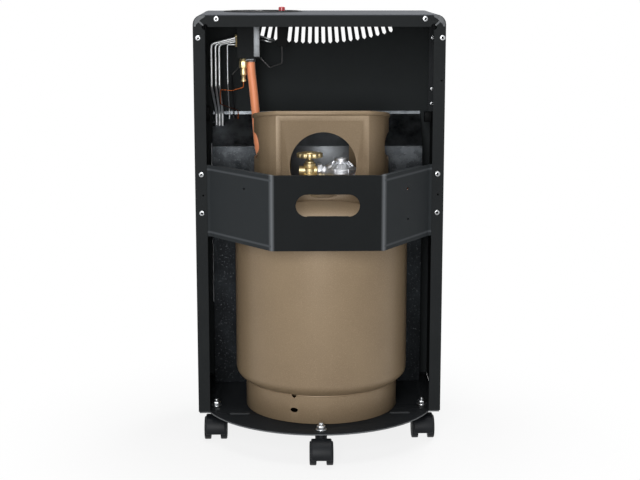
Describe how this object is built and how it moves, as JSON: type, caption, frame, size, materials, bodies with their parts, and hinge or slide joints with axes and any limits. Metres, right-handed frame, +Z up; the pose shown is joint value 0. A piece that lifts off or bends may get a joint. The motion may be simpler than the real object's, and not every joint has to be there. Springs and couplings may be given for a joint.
{
  "type": "portable gas cabinet heater",
  "caption": "Portable cabinet heater on casters with an enclosed gas bottle, rear guard band, hose and regulator, and a plaque burner behind a wire guard.",
  "frame": {"origin": "floor point under the middle of the heater's overall box", "axes": "+Z up, +Y towards the burner front, the open rear with the bottle faces -Y, +X to the right when looking from the rear"},
  "size_m": [0.42, 0.4128, 0.7435],
  "materials": {
    "black_paint": "satin powder coat",
    "galvanised_steel": "hot-dip galvanised sheet",
    "zinc_plate": "bright zinc plated",
    "polished_steel": "polished",
    "brass": "turned brass",
    "aluminium_pipe": "drawn tube",
    "die_cast": "as-cast, tumbled",
    "bottle_paint": "metallic bronze enamel",
    "plaque_ceramic": "matt, pressed",
    "black_plastic": "fine texture",
    "red_plastic": "gloss",
    "hose_rubber": "smooth extruded",
    "copper": "drawn copper tube"
  },
  "bodies": {
    "cabinet": {"band_screw_1": "zinc_plate", "band_screw_2": "zinc_plate", "band_screw_3": "zinc_plate", "band_screw_4": "zinc_plate", "base_plate": "black_paint", "burner_plenum_1": "galvanised_steel", "burner_plenum_2": "galvanised_steel", "burner_plenum_3": "galvanised_steel", "cabinet_wrap": "black_paint", "caster_stem_1": "zinc_plate", "caster_stem_2": "zinc_plate", "caster_stem_3": "zinc_plate", "caster_stem_4": "zinc_plate", "caster_stem_5": "zinc_plate", "ceramic_plaque_1": "plaque_ceramic", "ceramic_plaque_2": "plaque_ceramic", "ceramic_plaque_3": "plaque_ceramic", "control_dish": "black_plastic", "cylinder_collar": "bottle_paint", "cylinder_foot_ring": "bottle_paint", "cylinder_shell": "bottle_paint", "cylinder_valve": "brass", "front_panel": "black_paint", "gas_hose": "hose_rubber", "gas_valve": "die_cast", "guard_grille": "polished_steel", "heat_shield": "galvanised_steel", "hose_clip_inlet": "zinc_plate", "hose_inlet": "brass", "ignition_lead": "black_plastic", "left_side_rail": "black_paint", "piezo_igniter": "black_plastic", "pilot_burner": "brass", "pilot_pipe": "aluminium_pipe", "reflector": "polished_steel", "regulator_body": "die_cast", "regulator_union_nut": "brass", "right_side_rail": "black_paint", "spark_electrode": "plaque_ceramic", "supply_pipe_1": "aluminium_pipe", "supply_pipe_2": "aluminium_pipe", "supply_pipe_3": "aluminium_pipe", "thermocouple": "copper", "valve_bracket": "black_paint"},
    "caster_1_fork": {"caster_hood_1": "black_plastic"},
    "caster_1_wheels": {"caster_wheels_1": "black_plastic"},
    "caster_2_fork": {"caster_hood_2": "black_plastic"},
    "caster_2_wheels": {"caster_wheels_2": "black_plastic"},
    "caster_3_fork": {"caster_hood_3": "black_plastic"},
    "caster_3_wheels": {"caster_wheels_3": "black_plastic"},
    "caster_4_fork": {"caster_hood_4": "black_plastic"},
    "caster_4_wheels": {"caster_wheels_4": "black_plastic"},
    "caster_5_fork": {"caster_hood_5": "black_plastic"},
    "caster_5_wheels": {"caster_wheels_5": "black_plastic"},
    "tap_spindle": {"valve_spindle": "zinc_plate"},
    "tap_knob": {"control_knob": "black_plastic"},
    "igniter_button": {"igniter_button": "red_plastic"},
    "handwheel": {"valve_handwheel": "brass"},
    "guard_band": {"rear_guard_band": "black_paint"}
  },
  "joints": [
    {"name": "caster_swivel_1", "type": "hinge", "parent": "cabinet", "child": "caster_1_fork", "pos_m": [-0.181, -0.0206, 0.045], "axis": [0, 0, 1], "continuous": true},
    {"name": "caster_spin_1", "type": "hinge", "parent": "caster_1_fork", "child": "caster_1_wheels", "pos_m": [-0.181, -0.0416, 0.02], "axis": [1, 0, 0], "continuous": true},
    {"name": "caster_swivel_2", "type": "hinge", "parent": "cabinet", "child": "caster_2_fork", "pos_m": [0.181, -0.0206, 0.045], "axis": [0, 0, 1], "continuous": true},
    {"name": "caster_spin_2", "type": "hinge", "parent": "caster_2_fork", "child": "caster_2_wheels", "pos_m": [0.181, -0.0416, 0.02], "axis": [1, 0, 0], "continuous": true},
    {"name": "caster_swivel_3", "type": "hinge", "parent": "cabinet", "child": "caster_3_fork", "pos_m": [0, -0.1616, 0.045], "axis": [0, 0, 1], "continuous": true},
    {"name": "caster_spin_3", "type": "hinge", "parent": "caster_3_fork", "child": "caster_3_wheels", "pos_m": [0, -0.1826, 0.02], "axis": [1, 0, 0], "continuous": true},
    {"name": "caster_swivel_4", "type": "hinge", "parent": "cabinet", "child": "caster_4_fork", "pos_m": [-0.181, 0.1384, 0.045], "axis": [0, 0, 1], "continuous": true},
    {"name": "caster_spin_4", "type": "hinge", "parent": "caster_4_fork", "child": "caster_4_wheels", "pos_m": [-0.181, 0.1174, 0.02], "axis": [1, 0, 0], "continuous": true},
    {"name": "caster_swivel_5", "type": "hinge", "parent": "cabinet", "child": "caster_5_fork", "pos_m": [0.181, 0.1384, 0.045], "axis": [0, 0, 1], "continuous": true},
    {"name": "caster_spin_5", "type": "hinge", "parent": "caster_5_fork", "child": "caster_5_wheels", "pos_m": [0.181, 0.1174, 0.02], "axis": [1, 0, 0], "continuous": true},
    {"name": "tap_turn", "type": "hinge", "parent": "cabinet", "child": "tap_spindle", "pos_m": [-0.118, 0.1174, 0.7], "axis": [0, 0, 1], "range_deg": [0, 210]},
    {"name": "knob_push", "type": "slide", "parent": "tap_spindle", "child": "tap_knob", "axis": [0, 0, -1], "range_m": [0, 0.004], "stiffness_N_per_m": 1500, "springref_m": -0.002},
    {"name": "igniter_press", "type": "slide", "parent": "cabinet", "child": "igniter_button", "axis": [0, 0, -1], "range_m": [0, 0.006], "stiffness_N_per_m": 1200, "springref_m": -0.002},
    {"name": "handwheel_turn", "type": "hinge", "parent": "cabinet", "child": "handwheel", "pos_m": [-0.016, -0.0036, 0.495], "axis": [0, 0, 1], "range_deg": [0, 540]},
    {"name": "band_lift", "type": "slide", "parent": "cabinet", "child": "guard_band", "axis": [0, 0, 1], "range_m": [0, 0.022]}
  ]
}
